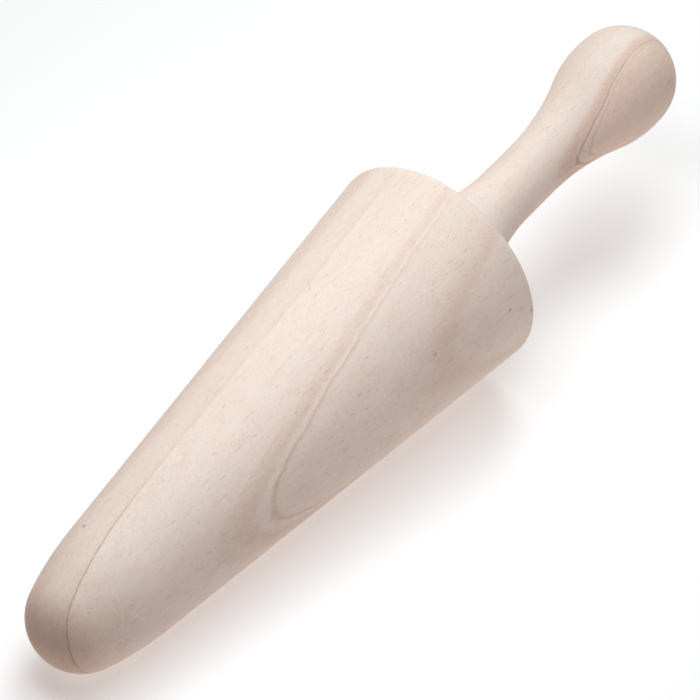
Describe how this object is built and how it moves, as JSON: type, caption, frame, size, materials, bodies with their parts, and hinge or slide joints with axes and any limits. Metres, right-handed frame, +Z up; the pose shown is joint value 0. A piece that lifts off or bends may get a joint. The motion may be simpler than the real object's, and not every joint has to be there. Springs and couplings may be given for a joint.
{
  "type": "wooden pestle",
  "caption": "Turned wooden pestle lying on its side: a long cone head with a rounded nose, and a handle with a flared foot, slim neck and round knob, for pressing food through a strainer.",
  "frame": {"origin": "under the middle of the object's box, on the surface that it lies on", "axes": "+X along the pestle from nose to knob, +Z up; the cone rests on the surface along one straight line, so the pestle's own axis lies in the XZ plane and rises by the cone's half angle, 6.3 degrees, towards the knob"},
  "size_m": [0.3232, 0.0782, 0.0777],
  "materials": {
    "head_wood": "fine sanded bare pale hardwood, pinkish cream with darker growth lines and short brown pores",
    "handle_wood": "fine sanded bare pale hardwood, light cream with a pinker side beyond one growth line"
  },
  "bodies": {
    "root": {"head": "head_wood", "handle": "handle_wood"}
  },
  "joints": []
}
